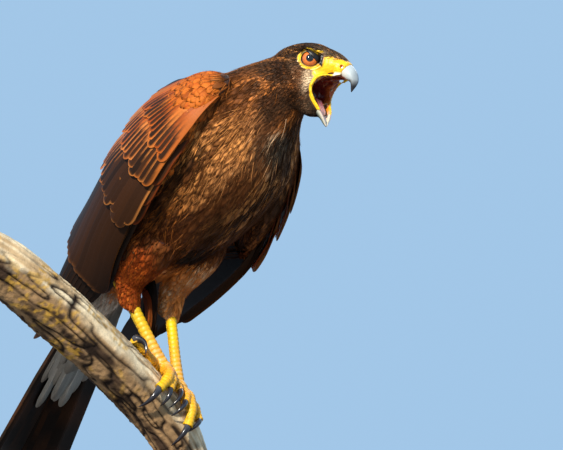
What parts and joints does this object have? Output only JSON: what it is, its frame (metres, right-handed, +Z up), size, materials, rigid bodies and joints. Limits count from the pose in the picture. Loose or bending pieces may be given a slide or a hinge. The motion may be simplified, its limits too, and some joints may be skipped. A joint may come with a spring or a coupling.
{
  "type": "perched hawk model",
  "caption": "Still life-size model of a perched Harris's hawk, calling with its bill open, gripping a slanted branch on a round display stand.",
  "frame": {"origin": "centre of the base's underside", "axes": "+Z up, out of the base; the hawk faces halfway between +X and -Y"},
  "size_m": [0.3299, 0.3217, 0.399],
  "materials": {
    "brown_plumage": "dark brown feathers, hair-like at the edges",
    "rufous_plumage": "chestnut feathers",
    "wing_plumage": "dark flight feathers with paler edges",
    "yellow_skin": "bare yellow skin and scales",
    "bill_horn": "pale horn with a dark tip",
    "claw_horn": "black horn",
    "mouth_flesh": "moist flesh",
    "eye": "wet orange-brown iris with a black pupil",
    "bark": "weathered grey bark with lichen",
    "stand_wood": "dark satin wood"
  },
  "bodies": {
    "root": {"torso": "brown_plumage", "neck": "brown_plumage", "head": "yellow_skin", "jaw_lower": "yellow_skin", "bill_upper": "bill_horn", "bill_lower": "bill_horn", "tongue": "mouth_flesh", "mouth_lining": "mouth_flesh", "eye_right": "eye", "eye_left": "eye", "wing_right": "wing_plumage", "wing_left": "wing_plumage", "tail": "wing_plumage", "thigh_right": "rufous_plumage", "thigh_left": "rufous_plumage", "shank_right": "yellow_skin", "shank_left": "yellow_skin", "foot_right": "yellow_skin", "foot_left": "yellow_skin", "claw_right_inner": "claw_horn", "claw_right_middle": "claw_horn", "claw_right_outer": "claw_horn", "claw_right_hind": "claw_horn", "claw_left_inner": "claw_horn", "claw_left_middle": "claw_horn", "claw_left_outer": "claw_horn", "claw_left_hind": "claw_horn", "perch_branch": "bark", "stand_rod": "stand_wood", "stand_base": "stand_wood"}
  },
  "joints": []
}
